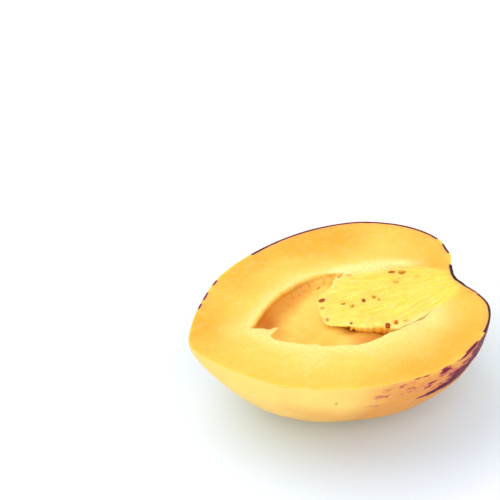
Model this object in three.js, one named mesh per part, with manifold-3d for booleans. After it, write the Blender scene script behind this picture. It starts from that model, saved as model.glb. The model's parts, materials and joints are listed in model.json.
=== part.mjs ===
// One half of a pepino melon, cut lengthwise, lying on its skin with the cut face up.
// Millimetres, +Z up. +X points to the stem end, and the origin is the middle of the flat
// spot that the half rests on. Flesh, skin, seed core and seeds grew as one body; the dry
// calyx at the stem is a piece of its own.
import * as THREE from "three";
import { mergeVertices } from "three/addons/utils/BufferGeometryUtils.js";
import Module from "manifold-3d";

// ---- Driving dimensions ------------------------------------------------------------

const cutHeight = 36.5; // from the resting spot up to the cut face
const restAhead = 7; // the resting spot's distance from mid-length, towards the stem
const restAside = 0.5; // and its distance to the near side, -Y

// Half of the fruit's outline, from the stem dimple round the shoulder to the blossom tip,
// as distance along the axis from mid-length and distance out from the axis.
const outline = [
  [45.3, 0], [46.3, 4.2], [48.9, 11.5], [49.3, 18.5], [45.2, 26.1], [37.6, 32.8],
  [26.5, 38.2], [12.5, 40.2], [-1.5, 39.0], [-16.0, 34.8], [-28.6, 28.2],
  [-39.0, 17.9], [-46.0, 8.0], [-49.2, 0],
];
const depthShare = 0.93; // depth under the cut over half-width, at mid-length
const depthTaper = 0.0011; // how much of that share is lost for each mm towards the stem
const nearBulge = 0.013; // share by which the -Y side is fuller than the middle
const dimpleShift = 1.3; // the stem dimple lies this far to -Y
const dimpleReach = 9; // distance from the axis over which that shift dies out
const ribs = { // low ribs that run out of the dimple and die out along the fruit
  count: 7,
  height: 0.35,
  dieOutAt: 10, // along the axis
  fullAt: 46,
  broadFrom: 30, // distance from the axis where they have flattened out
  turned: 0.6,
};

// Closed outlines in the cut plane run from the blossom tip's side round by the far side.
const hollow = {
  rim: [
    [-27.4, 0.4], [-24.5, 3.1], [-19.5, 7.5], [-13.8, 11.5], [-5.2, 15.2], [3.5, 16.4],
    [9.5, 15.4], [15, 13.2], [24, 11.5], [32, 5], [34, -6], [30.5, -13.8], [22.4, -16.7],
    [12.7, -18.6], [3.2, -19.5], [-5.5, -17], [-13.7, -13.1], [-21, -7.8], [-25.6, -3],
  ],
  bottom: [4, -1.3], // where it is deepest
  depth: 14,
};
const core = {
  edge: [
    [-4.4, -5.6], [-3.9, -1.1], [-2.4, 2.7], [0.4, 5.4], [4.4, 7.4], [8.9, 9.9], [13.5, 12.4],
    [19, 14.5], [30, 13], [39, 5], [40, -6], [33, -16], [22, -18.6], [14, -18.2],
    [9.6, -15.5], [6.1, -13.3], [2.7, -11.2], [-1.2, -9.8], [-3.7, -8.2],
  ],
  bottom: [15, -2],
  depth: 9.2,
  lobes: 46, // small lobes all round its edge
  lobeHeight: 0.5,
};
const flap = { // a torn tongue of flesh at the hollow's pointed end
  outline: [[-28, 1.2], [-23.2, -0.6], [-21.4, -1.9], [-18.2, -1.5], [-19.4, -3.2],
    [-21.6, -4.4], [-22.2, -7.6], [-27, -6]],
  thick: 1.6,
};
const seed = {
  long: 2.3,
  wide: 1.8,
  thick: 1.3,
  proud: 0.27, // how far a seed in the cut face stands up from it
  sunk: 0.26, // how far the middle of any other seed lies under the surface
};
const seedRows = [ // rows on the cut face of the core, as ends in the cut plane
  { from: [-2.2, 2], to: [17, -1.6], count: 7 },
  { from: [25, 2.2], to: [35, 4.2], count: 4 },
  { from: [24.5, 8.2], to: [31, 8], count: 3 },
  { from: [-2.6, -5], to: [22, -10.8], count: 4 },
];
const seedJitter = 0.9; // how far a seed strays from its row
// Rows along the core's edge and under it, as shares of the way round; low is 0 at the edge
// and 1 at the bottom of the core.
const hangingRows = [
  { low: 0.08, from: 0.7, to: 0.93, count: 9 },
  { low: 0.1, from: 0.06, to: 0.3, count: 4 },
  { low: 0.45, from: 0.75, to: 1.2, count: 9 },
  { low: 0.75, from: 0.7, to: 1.25, count: 7 },
];

const calyx = {
  lobes: 5,
  reach: 7.2, // axis to a lobe's point
  waist: 4.4, // axis to the bottom of a notch between lobes
  lobeSharpness: 1.6,
  turned: 0.35, // about the axis, in radians
  thick: 0.7,
  scarRadius: 2.3, // where the fruit stalk broke off
  scarFlare: 1.3, // its foot over its top
  scarHeight: 0.4,
  gap: 0.25, // between calyx and skin
};

const colours = { fruit: 0xf6c65a, calyx: 0x6b664a };

// How finely each surface is divided.
const outlineSteps = 50;
const roundSteps = 80;
const rimSteps = 76;
const coreSteps = 138;
const bowlSteps = 9;
const beyond = 60; // half the size of the blocks that stand for the knife and the table

// ---- Helpers -----------------------------------------------------------------------

const wasm = await Module();
wasm.setup();

// A point on the smooth line through a row of points, by Catmull-Rom spans; pointAt(i) also
// answers for one point before the row and one after it.
function smoothLine(pointAt, spans, share) {
  const span = Math.min(Math.floor(share * spans), spans - 1);
  const t = share * spans - span;
  const row = [span - 1, span, span + 1, span + 2].map(pointAt);
  return [0, 1].map((k) => {
    const [a, b, c, d] = row.map((point) => point[k]);
    return 0.5 * (2 * b + (c - a) * t + (2 * a - 5 * b + 4 * c - d) * t * t
      + (3 * b - a - 3 * c + d) * t * t * t);
  });
}

// The same for a line that starts and ends on the axis and goes on as its own mirror image.
function fromAxisToAxis(points, share) {
  const last = points.length - 1;
  const mirrored = ([x, out]) => [x, -out];
  const pointAt = (i) => {
    if (i < 0) return mirrored(points[-i]);
    return i > last ? mirrored(points[2 * last - i]) : points[i];
  };
  return smoothLine(pointAt, last, share);
}

// The same for a closed line, where share 1 is back at share 0.
function closedLine(points, share) {
  const count = points.length;
  return smoothLine((i) => points[(i + count) % count], count, share - Math.floor(share));
}

// The same numbers each run, from 0 to 1.
function seededNumbers(start) {
  let state = start;
  return () => {
    state = (state * 1664525 + 1013904223) % 4294967296;
    return state / 4294967296;
  };
}

// A closed surface of rings between two poles; place(u, v) goes from pole to pole with u
// and once round with v.
function ringSurface(rings, sides, place) {
  const points = [place(0, 0)];
  for (let ring = 1; ring < rings; ring++)
    for (let side = 0; side < sides; side++) points.push(place(ring / rings, side / sides));
  points.push(place(1, 0));
  const at = (ring, side) => 1 + (ring - 1) * sides + (side % sides);
  const faces = [];
  for (let side = 0; side < sides; side++) {
    faces.push(0, at(1, side), at(1, side + 1));
    for (let ring = 1; ring < rings - 1; ring++) {
      faces.push(at(ring, side), at(ring + 1, side), at(ring + 1, side + 1));
      faces.push(at(ring, side), at(ring + 1, side + 1), at(ring, side + 1));
    }
    faces.push(points.length - 1, at(rings - 1, side + 1), at(rings - 1, side));
  }
  return new THREE.BufferGeometry().setFromPoints(points).setIndex(faces);
}

// A three.js geometry as a manifold-3d solid.
function solid(geometry) {
  const bare = geometry.clone();
  bare.deleteAttribute("normal");
  bare.deleteAttribute("uv");
  const merged = mergeVertices(bare, 1e-4);
  const made = new wasm.Manifold(new wasm.Mesh({
    numProp: 3,
    vertProperties: new Float32Array(merged.attributes.position.array),
    triVerts: new Uint32Array(merged.index.array),
  }));
  if (made.volume() < 0) throw new Error("a surface is inside out");
  return made;
}

// A manifold-3d solid as a named three.js mesh.
function meshOf(name, body, colour, roughness) {
  const { numProp, vertProperties, triVerts } = body.getMesh();
  const geometry = new THREE.BufferGeometry();
  geometry.setAttribute("position", new THREE.BufferAttribute(vertProperties, numProp));
  geometry.setIndex(new THREE.BufferAttribute(triVerts, 1));
  geometry.computeVertexNormals();
  const material = new THREE.MeshStandardMaterial({ color: colour, roughness, metalness: 0 });
  const mesh = new THREE.Mesh(geometry, material);
  mesh.name = name;
  return mesh;
}

// A block from one height to another, wide enough to cross the whole fruit.
function slab(from, to) {
  const block = new THREE.BoxGeometry(4 * beyond, 4 * beyond, to - from);
  return solid(block.translate(0, 0, (from + to) / 2));
}

// ---- The fruit: positions are from mid-length in the cut plane, which is z = 0 -------

// A point on the skin: share runs from the stem to the tip, round goes once round the axis
// from the -Y side, down under the fruit and back over the top.
function skinPoint(share, round) {
  const [x, out] = fromAxisToAxis(outline, share);
  const turn = round * 2 * Math.PI;
  const nearness = Math.cos(turn);
  const stemward = THREE.MathUtils.smoothstep(x, ribs.dieOutAt, ribs.fullAt);
  const swelling = Math.sin(Math.PI * Math.min(1, out / ribs.broadFrom));
  const rib = ribs.height * stemward * swelling * Math.cos(ribs.count * turn + ribs.turned);
  const reach = (out + rib) * (1 + nearBulge * nearness);
  const shift = x > 0 ? dimpleShift * Math.exp(-((out / dimpleReach) ** 2)) : 0;
  return new THREE.Vector3(
    x,
    -reach * nearness - shift,
    -reach * Math.sin(turn) * (depthShare - depthTaper * x),
  );
}

function wholeFruit() {
  return solid(ringSurface(outlineSteps, roundSteps, skinPoint));
}

// A point of a bowl that hangs from a closed edge in the cut plane: low is 0 at the edge and
// 1 at the bottom. The wall starts straight down and rounds in to the bottom.
function bowlPoint([x, y], bottom, depth, low) {
  const inward = Math.cos(low * Math.PI / 2);
  return new THREE.Vector3(
    bottom[0] + (x - bottom[0]) * inward,
    bottom[1] + (y - bottom[1]) * inward,
    -depth * Math.sin(low * Math.PI / 2),
  );
}

// Such a bowl as a solid, with a straight shaft from its edge up past the cut plane.
function bowlSolid(edgeAt, bottom, depth, sides) {
  const shaftHeight = 3;
  return solid(ringSurface(bowlSteps + 2, sides, (u, v) => {
    const step = Math.round(u * (bowlSteps + 2)); // from the bottom up
    const place = bowlPoint(edgeAt(v), bottom, depth, Math.max(0, 1 - step / bowlSteps));
    if (step > bowlSteps) place.z = shaftHeight;
    if (step > bowlSteps + 1) place.set(bottom[0], bottom[1], shaftHeight);
    return place;
  }));
}

// The space that the seeds grew in.
function hollowSpace() {
  return bowlSolid((share) => closedLine(hollow.rim, share), hollow.bottom, hollow.depth, rimSteps);
}

// The core's edge in the cut plane, with its small lobes.
function coreEdge(share) {
  const [x, y] = closedLine(core.edge, share);
  const lobe = Math.abs(Math.sin(Math.PI * core.lobes * share)) - 0.5;
  const [dx, dy] = [x - core.bottom[0], y - core.bottom[1]];
  const grown = 1 + core.lobeHeight * lobe / Math.hypot(dx, dy);
  return [core.bottom[0] + dx * grown, core.bottom[1] + dy * grown];
}

// The seed core: a lobed tongue that hangs from the stem end into the hollow.
function seedCore() {
  return bowlSolid(coreEdge, core.bottom, core.depth, coreSteps);
}

function tornFlap() {
  const shape = new THREE.Shape(flap.outline.map(([x, y]) => new THREE.Vector2(x, y)));
  const tongue = new THREE.ExtrudeGeometry(shape, { depth: 2 * flap.thick, bevelEnabled: false });
  return solid(tongue.translate(0, 0, -flap.thick));
}

// One seed, lying at a place and turned about the upright.
function seedAt(x, y, z, turn) {
  const body = new THREE.IcosahedronGeometry(0.5, 0);
  body.scale(seed.long, seed.wide, seed.thick).rotateZ(turn).translate(x, y, z);
  return solid(body);
}

function seeds() {
  const random = seededNumbers(7);
  const placed = [];
  const stray = () => (random() - 0.5) * 2 * seedJitter;
  for (const { from, to, count } of seedRows)
    for (let i = 0; i < count; i++) {
      const share = count > 1 ? i / (count - 1) : 0;
      const x = from[0] + (to[0] - from[0]) * share + stray();
      const y = from[1] + (to[1] - from[1]) * share + stray();
      placed.push(seedAt(x, y, seed.proud - seed.thick / 2, random() * Math.PI));
    }
  for (const { low, from, to, count } of hangingRows)
    for (let i = 0; i < count; i++) {
      const share = from + (to - from) * (i + 0.5 * random()) / count;
      const place = bowlPoint(coreEdge(share), core.bottom, core.depth, low);
      placed.push(seedAt(place.x, place.y, place.z + seed.sunk, random() * Math.PI));
    }
  return placed;
}

function fruitHalf(fruit) {
  const above = slab(0, 2 * beyond);
  const below = slab(-2 * beyond, -cutHeight);
  const grown = fruit.subtract(hollowSpace()).add(seedCore()).add(tornFlap());
  const cut = grown.subtract(above).subtract(below);
  return wasm.Manifold.union([cut, ...seeds()]);
}

// ---- The calyx: dry lobes that lie in the dimple, halved by the same cut -------------

// The star of lobes as a bar along the axis, long enough to cross the dimple's floor.
function calyxStar() {
  const stepsPerLobe = 12;
  const corners = stepsPerLobe * calyx.lobes;
  const points = [];
  for (let i = 0; i < corners; i++) {
    const turn = (i / corners) * 2 * Math.PI;
    const swing = (0.5 + 0.5 * Math.cos(calyx.lobes * turn)) ** calyx.lobeSharpness;
    const reach = calyx.waist + (calyx.reach - calyx.waist) * swing;
    points.push(new THREE.Vector2(reach * Math.cos(turn), reach * Math.sin(turn)));
  }
  const barLength = 14;
  const bar = new THREE.ExtrudeGeometry(new THREE.Shape(points), {
    depth: barLength,
    bevelEnabled: false,
  });
  return solid(bar.rotateY(Math.PI / 2).rotateX(calyx.turned).translate(-barLength / 3, 0, 0));
}

function calyxHalf(fruit) {
  const root = 4; // the scar's foot goes this far in before the fruit is cut out of it
  const scarLength = calyx.scarHeight + root;
  const scar = new THREE.CylinderGeometry(
    calyx.scarRadius, calyx.scarRadius * calyx.scarFlare, scarLength, 20,
  );
  scar.rotateZ(-Math.PI / 2).translate(calyx.thick + scarLength / 2 - root, 0, 0);
  const dimple = [outline[0][0], -dimpleShift, 0];
  const layer = fruit.translate([calyx.thick, 0, 0]).intersect(calyxStar().translate(dimple));
  const grown = layer.add(solid(scar).translate(dimple)).subtract(fruit);
  return grown.subtract(slab(0, 2 * beyond)).translate([calyx.gap, 0, 0]);
}

// ---- Put together --------------------------------------------------------------------

const fruit = wholeFruit();
const pepinoHalf = new THREE.Group();
pepinoHalf.name = "pepino_melon_half";
const onTable = new THREE.Group();
onTable.position.set(-restAhead, restAside, cutHeight);
onTable.add(meshOf("fruit_half", fruitHalf(fruit), colours.fruit, 0.45));
onTable.add(meshOf("calyx_half", calyxHalf(fruit), colours.calyx, 0.85));
pepinoHalf.add(onTable);

export default pepinoHalf;
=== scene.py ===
import json
import math

import bpy
import numpy as np
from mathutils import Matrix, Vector

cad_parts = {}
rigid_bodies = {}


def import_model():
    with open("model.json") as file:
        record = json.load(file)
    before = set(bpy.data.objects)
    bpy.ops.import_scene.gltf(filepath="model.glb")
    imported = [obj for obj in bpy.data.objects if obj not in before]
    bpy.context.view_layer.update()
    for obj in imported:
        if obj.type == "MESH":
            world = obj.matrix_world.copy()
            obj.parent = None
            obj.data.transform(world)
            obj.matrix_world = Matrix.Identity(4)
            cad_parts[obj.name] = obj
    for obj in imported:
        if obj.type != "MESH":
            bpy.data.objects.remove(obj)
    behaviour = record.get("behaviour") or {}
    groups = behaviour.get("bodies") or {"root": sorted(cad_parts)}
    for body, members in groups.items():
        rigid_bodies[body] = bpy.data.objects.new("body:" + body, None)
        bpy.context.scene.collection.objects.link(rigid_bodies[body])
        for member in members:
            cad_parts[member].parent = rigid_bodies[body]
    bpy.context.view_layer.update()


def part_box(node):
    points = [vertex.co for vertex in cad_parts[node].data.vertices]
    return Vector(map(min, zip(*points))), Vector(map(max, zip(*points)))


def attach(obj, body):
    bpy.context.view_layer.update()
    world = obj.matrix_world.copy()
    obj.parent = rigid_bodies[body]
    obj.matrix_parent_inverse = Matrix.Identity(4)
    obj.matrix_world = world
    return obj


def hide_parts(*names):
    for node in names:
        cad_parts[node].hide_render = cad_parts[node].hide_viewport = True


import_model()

# Shapes are worked out in millimetres, from the middle of the fruit's length in the cut plane:
# +X to the stem, +Z up. makePiece moves them to their place in the frame, in metres.
fruitLow, fruitHigh = (1000 * np.array(corner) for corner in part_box("fruit_half"))
cutHeight = 1000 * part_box("calyx_half")[1].z  # the calyx ends in the cut plane
tipDistance = 49.2  # mid-length to the blossom tip
farWidth = 39.68  # axis to the far side
fruitPlace = np.array([fruitLow[0] + tipDistance, fruitHigh[1] - farWidth, cutHeight])
print("frame loaded, fruit placed at", fruitPlace.round(2))


# Catmull-Rom: between two points the line is the cubic whose slope at each of them is half the
# step between its neighbours. A closed line comes back to its start; any other starts and ends
# on the axis and goes on as its own mirror image.
def smoothLine(points, share, closed=False):
    points = np.asarray(points, float)
    spans = len(points) if closed else len(points) - 1
    place = (np.mod(share, 1.0) if closed else np.clip(share, 0.0, 1.0)) * spans
    span = np.minimum(place.astype(int), spans - 1)
    t = (place - span)[..., None]
    if closed:
        before, here, after, beyond = (points[(span + k) % spans] for k in (-1, 0, 1, 2))
    else:
        mirror = np.array([1.0, -1.0])
        row = np.vstack([points[1] * mirror, points, points[-2] * mirror])
        before, here, after, beyond = (row[span + k] for k in range(4))
    straight = 2 * here + (after - before) * t
    bend = (2 * before - 5 * here + 4 * after - beyond) * t**2
    swing = (3 * here - before - 3 * after + beyond) * t**3
    return 0.5 * (straight + bend + swing)


# How far each point of a line lies along it.
def wayAlong(line):
    return np.concatenate([[0], np.cumsum(np.linalg.norm(np.diff(line, axis=0), axis=1))])


# Places at equal shares of the way along a line of points.
def evenly(line, share):
    way = wayAlong(line)
    return np.stack([np.interp(share * way[-1], way, line[:, axis]) for axis in (0, 1)], -1)


# Many sine waves in random directions, with lengths round size, added up and scaled to a
# spread of about one.
def unevenness(places, size, seed, waves=28):
    random = np.random.default_rng(seed)
    direction = random.normal(size=(waves, places.shape[-1]))
    direction /= np.linalg.norm(direction, axis=1, keepdims=True)
    steepness = 2 * math.pi / (size * random.uniform(0.6, 1.7, waves))
    phase = random.uniform(0, 2 * math.pi, waves)
    return np.sin(places @ (direction * steepness[:, None]).T + phase).sum(-1) * math.sqrt(2 / waves)


# 0 below low, 1 above high, and 3t^2 - 2t^3 between.
def ease(value, low, high):
    t = np.clip((value - low) / (high - low), 0.0, 1.0)
    return t * t * (3 - 2 * t)


# A bell: 1 where value is 0, fallen to 1/e at width; a higher power makes it flatter on top.
def bell(value, width, power=2):
    return np.exp(-(np.abs(value / width) ** power))


# Steps from 0 to 1 that are small at both ends: t less a share of sin(2 pi t) / (2 pi).
def gradedSteps(count, grading):
    t = np.linspace(0, 1, count + 1)
    return t - grading * np.sin(2 * math.pi * t) / (2 * math.pi)


# Even shares of the way, above 0 and up to 1, shaped to multiply whole rings of points.
def ringShares(count):
    return np.linspace(0, 1, count + 1)[1:, None, None]


# A superellipse bowl at a share of the way down: how far out it still is, and how far down.
def bowl(share, slope):
    return np.cos(share * math.pi / 2) ** (2 / slope), np.sin(share * math.pi / 2) ** (2 / slope)


# The shortest distance from each place to a closed line of points, in the cut plane.
def distanceTo(line, places):
    step = np.roll(line, -1, axis=0) - line
    flat = places[..., :2].reshape(-1, 2)
    nearest = np.empty(len(flat))
    for part in np.array_split(np.arange(len(flat)), max(1, len(flat) // 2000)):
        offset = flat[part][:, None, :] - line
        along = (offset * step).sum(-1) / np.maximum((step * step).sum(-1), 1e-9)
        gap = offset - np.clip(along, 0, 1)[..., None] * step
        nearest[part] = np.sqrt((gap * gap).sum(-1).min(1))
    return nearest.reshape(places.shape[:-1])


# Vertex numbers of a grid: each row in poles is a single vertex, and a closed grid comes round.
def numbered(shape, start=0, poles=(0, -1), closed=False):
    index = start + np.arange(shape[0] * shape[1]).reshape(shape)
    for row in poles:
        index[row] = index[row, 0]
    return np.hstack([index, index[:, :1]]) if closed else index


# Faces between neighbouring entries of a grid of vertex numbers. Where two corners are the
# same vertex, as at a pole, the face is a triangle.
def gridFaces(index):
    corners = [index[:-1, :-1], index[1:, :-1], index[1:, 1:], index[:-1, 1:]]
    quads = np.stack([corner.ravel() for corner in corners], 1)
    same = quads == np.roll(quads, -1, axis=1)
    faces = quads[~same.any(1)].tolist()
    for side in range(4):
        kept = [corner for corner in range(4) if corner != side]
        faces += quads[same[:, side] & (same.sum(1) == 1)][:, kept].tolist()
    return faces


# A new object for some data, linked to the scene.
def intoScene(name, data):
    thing = bpy.data.objects.new(name, data)
    bpy.context.scene.collection.objects.link(thing)
    return thing


# A named mesh piece from points in millimetres; fields become point attributes.
def makePiece(name, points, faces, materials, fields, materialOf=None):
    mesh = bpy.data.meshes.new(name)
    mesh.from_pydata(((points + fruitPlace) / 1000).tolist(), [], faces)
    for field, values in fields.items():
        kind, key = ("FLOAT", "value") if values.ndim == 1 else ("FLOAT_VECTOR", "vector")
        attribute = mesh.attributes.new(field, kind, "POINT")
        attribute.data.foreach_set(key, values.astype(np.float32).ravel())
    for material in materials:
        mesh.materials.append(material)
    if materialOf is not None:
        mesh.polygons.foreach_set("material_index", materialOf)
    mesh.shade_smooth()
    mesh.validate()
    piece = intoScene(name, mesh)
    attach(piece, "root")
    return piece


fruit = {
    "outline": [
        (45.3, 0), (46.3, 4.2), (48.9, 11.5), (49.3, 18.5), (45.2, 26.1), (37.6, 32.8),
        (26.5, 38.2), (12.5, 40.2), (-1.5, 39.0), (-16.0, 34.8), (-28.6, 28.2),
        (-39.0, 17.9), (-46.0, 8.0), (-49.2, 0),
    ],
    "depthShare": 0.93,  # depth under the cut over half-width, at mid-length
    "depthTaper": 0.0011,  # taken off that share for each millimetre towards the stem
    "nearBulge": 0.013,  # the near side is wider by this share, the far side narrower
    "dimpleShift": 1.3,
    "dimpleReach": 9.0,
    "farShoulder": (9.6, 2.8, 0.75),  # a bulge beside the dimple: distance out, reach, height
    "ribs": 7,
    "ribHeight": 0.35,
    "alongSteps": 300,
    "roundSteps": 126,
}
hollow = {
    "rim": [
        (-27.4, 0.4), (-24.5, 3.1), (-19.5, 7.5), (-13.8, 11.5), (-5.2, 15.2), (3.5, 16.4),
        (9.5, 15.4), (15, 13.2), (24, 11.5), (32, 5), (34, -6), (30.5, -13.8), (22.4, -16.7),
        (12.7, -18.6), (3.2, -19.5), (-5.5, -17), (-13.7, -13.1), (-21.8, -8.4), (-25.6, -3),
    ],
    "stemAt": 9.5,  # the rim's most stemward place, counted in points of the rim
    "tornAt": 16,  # the point where the torn stretch begins
    # where a torn tongue of flesh stands over the pointed end, from the near side round to the tip
    "torn": [
        (-13.7, -13.1), (-18.3, -10.6), (-21.3, -8.4), (-22.8, -6.6), (-23.1, -5.2), (-22.0, -4.2),
        (-20.3, -3.4), (-19.4, -2.6), (-20.8, -2.2), (-22.6, -2.4), (-24.0, -1.3), (-27.4, 0.4),
    ],
    # shares of the torn edge's length, and the shares of the wall's line that they rise from
    "tornFrom": [(0, 0.46, 1), (0, 0.72, 1)],
    "tongueThickness": 0.35,
    "bottom": (4, -1.3),
    "depth": 10.6,
    "farRounding": 2.1,  # the far rim is soft, the near rim is sharp
    "nearRounding": 0.45,
    "farSlope": 1.5,  # 2 is an upright, round wall; less is a flatter slope from the rim
    "nearSlope": 1.9,
    # swellings of the wall: x, y, reach along x and y, height of the top, share of the way to it
    "mounds": [
        (2.5, 10.0, 7.0, 6.0, -0.4, 0.9), (0, 2.5, 8.5, 8.0, -0.5, 0.9),
        (-2, -7.5, 7.5, 5.5, -1.1, 0.85), (7, -12.5, 9.0, 5.0, -1.9, 0.85),
        (-23, -0.5, 4.0, 3.5, -2.4, 0.8),
    ],
    "faceSteps": 56,
    "roundingSteps": 8,
    "underSteps": 5,
    "wallSteps": 34,
}


# Distance out from the axis is the outline's, with low ribs towards the stem; it is turned
# about the axis from the near side (0) under the fruit to the far side (pi), and flattened a
# little downwards. The dimple is shifted to the near side and has a bulge on its far side.
def skinSurface(share, turn):
    along, out = np.moveaxis(smoothLine(fruit["outline"], share), -1, 0)
    nearness = np.cos(turn)
    swelling = np.sin(math.pi * np.minimum(1, out / 30)) * ease(along, 10, 46)
    out = out + fruit["ribHeight"] * swelling * np.cos(fruit["ribs"] * turn + 0.6)
    reach = out * (1 + fruit["nearBulge"] * nearness)
    shoulderOut, shoulderReach, shoulderHeight = fruit["farShoulder"]
    shoulder = shoulderHeight * bell(out - shoulderOut, shoulderReach)
    shoulder = shoulder * ease(along, 40, 44) * ease(-nearness, 0, 1)
    shift = np.where(along > 0, fruit["dimpleShift"] * bell(out, fruit["dimpleReach"]), 0)
    depth = reach * np.sin(turn) * (fruit["depthShare"] - fruit["depthTaper"] * along)
    return np.stack([along + shoulder, -reach * nearness - shift, -depth], -1)


alongShare = np.linspace(0, 1, fruit["alongSteps"] + 1)
nearEdge = skinSurface(alongShare, np.zeros_like(alongShare))
farEdge = skinSurface(alongShare, np.full_like(alongShare, math.pi))
outlineLoop = np.vstack([nearEdge, farEdge[-2:0:-1]])[:, :2]  # stem, near side, tip, far side
rimLine = smoothLine(hollow["rim"], np.linspace(0, 1, 400, endpoint=False), closed=True)


# Where the core's cut top has grown into the flesh, from its far side round to the near crease.
mergePoints = [
    (8.5, 14.6), (13.2, 14.4), (19, 13.6), (26, 11.6), (32.5, 6.5), (35.2, -1), (34.5, -8),
    (33, -12.5),
]
mergeLine = evenly(np.array(mergePoints), np.linspace(0, 1, 60))
mergeLine = np.vstack([mergeLine, mergeLine[::-1]])


# Soft round spots added up: each is an x, a y, a radius and a strength.
def spotsAt(spots, places):
    total = np.zeros(places.shape[:-1])
    for x, y, radius, strength in spots:
        gap = (places[..., 0] - x) ** 2 + (places[..., 1] - y) ** 2
        total += strength * np.exp(-gap / radius**2)
    return total


flesh = {
    "orangeSpots": [
        (16, 34, 10, 1.0), (4, 34, 9, 1.0), (-12, 33, 8, 0.7), (-24, 26, 9, 0.6),
        (-43, 5, 9, 0.95), (-38, 13, 7, 0.5), (26, -33, 10, 1.0), (12, -36, 8, 0.6),
        (40, -25, 9, 0.5), (46, 13, 8, 0.15), (42, 20, 9, 0.25), (44, 4, 5, 0.2),
        (46, -9, 4, 0.35), (0, -37, 6, 0.35), (0, -3, 6, 0.4), (12, -9, 7, 0.35),
        (26.5, 4.0, 2.4, 0.6), (41.5, 5.0, 2.4, 0.35), (34.3, 3.4, 2.2, 0.5),
        (29, 8.6, 2.6, 0.5), (28, 6, 6, 0.5), (38, 8, 6, 0.35), (19, 1, 5, 0.4),
    ],
    "paleSpots": [
        (-14, -17, 7, 0.7), (19, -23, 9, 0.9), (4, -22, 6, 0.5), (-34, 2, 5, 0.5),
        (30, -17, 6, 0.8),
    ],
    # a pale band follows the core's far side, through these points
    "paleBand": [(9, 16.4), (13, 16), (20, 14.8), (28, 13.4), (38, 9.5)],
    "bandWidth": 2.1,
    # the yellow fan's half-width at each place along the fruit
    "fanWidth": [(-6, 12), (4, 14.5), (14, 15), (30, 12), (40, 8.5), (47, 4.8)],
    "fanMiddle": -2.2,
    "fanFrom": (56.0, -2.0),  # the fibres spread from behind the stem dimple
    "fanSpread": 34,  # millimetres across the fibres for each radian of the fan
}


# Where each place lies along and across the fibres.
def fibrePlace(places):
    fan = places[..., :2] - np.array(flesh["fanFrom"])
    across = flesh["fanSpread"] * np.arctan2(fan[..., 1], -fan[..., 0])
    return np.hypot(fan[..., 0], fan[..., 1]), across


# What the flesh material needs to know of each place: distances in the cut plane from skin
# and hollow, how yellow and how orange it is, and where it lies along and across the fibres.
def fleshFields(places, inHollow=None, core=False):
    x, y = places[..., 0], places[..., 1]
    fromSkin = distanceTo(outlineLoop, places)
    fromHollow = distanceTo(rimLine, places)
    if inHollow is not None:
        fromHollow = np.where(inHollow, places[..., 2], fromHollow)
    off = np.abs(y - flesh["fanMiddle"]) / np.interp(x, *zip(*flesh["fanWidth"]))
    yellow = (1 - ease(off, 0.6, 1.3)) * (1 - 0.6 * ease(x, 38, 48))
    if not core:
        yellow = yellow * ease(x, 8, 17)
    bandMiddle = np.interp(x, *zip(*flesh["paleBand"]))
    band = bell(y - bandMiddle, flesh["bandWidth"]) * ease(x, 5, 11) * (1 - ease(x, 30, 42))
    away, across = fibrePlace(places)
    return {
        "fromSkin": fromSkin,
        "fromHollow": fromHollow,
        "yellow": yellow,
        "orange": spotsAt(flesh["orangeSpots"], places),
        "pale": spotsAt(flesh["paleSpots"], places),
        "band": band,
        "seam": 1 - ease(distanceTo(mergeLine, places), 0.6, 4.0),
        "fibres": np.stack([away, across, places[..., 2]], -1),
    }


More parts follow.
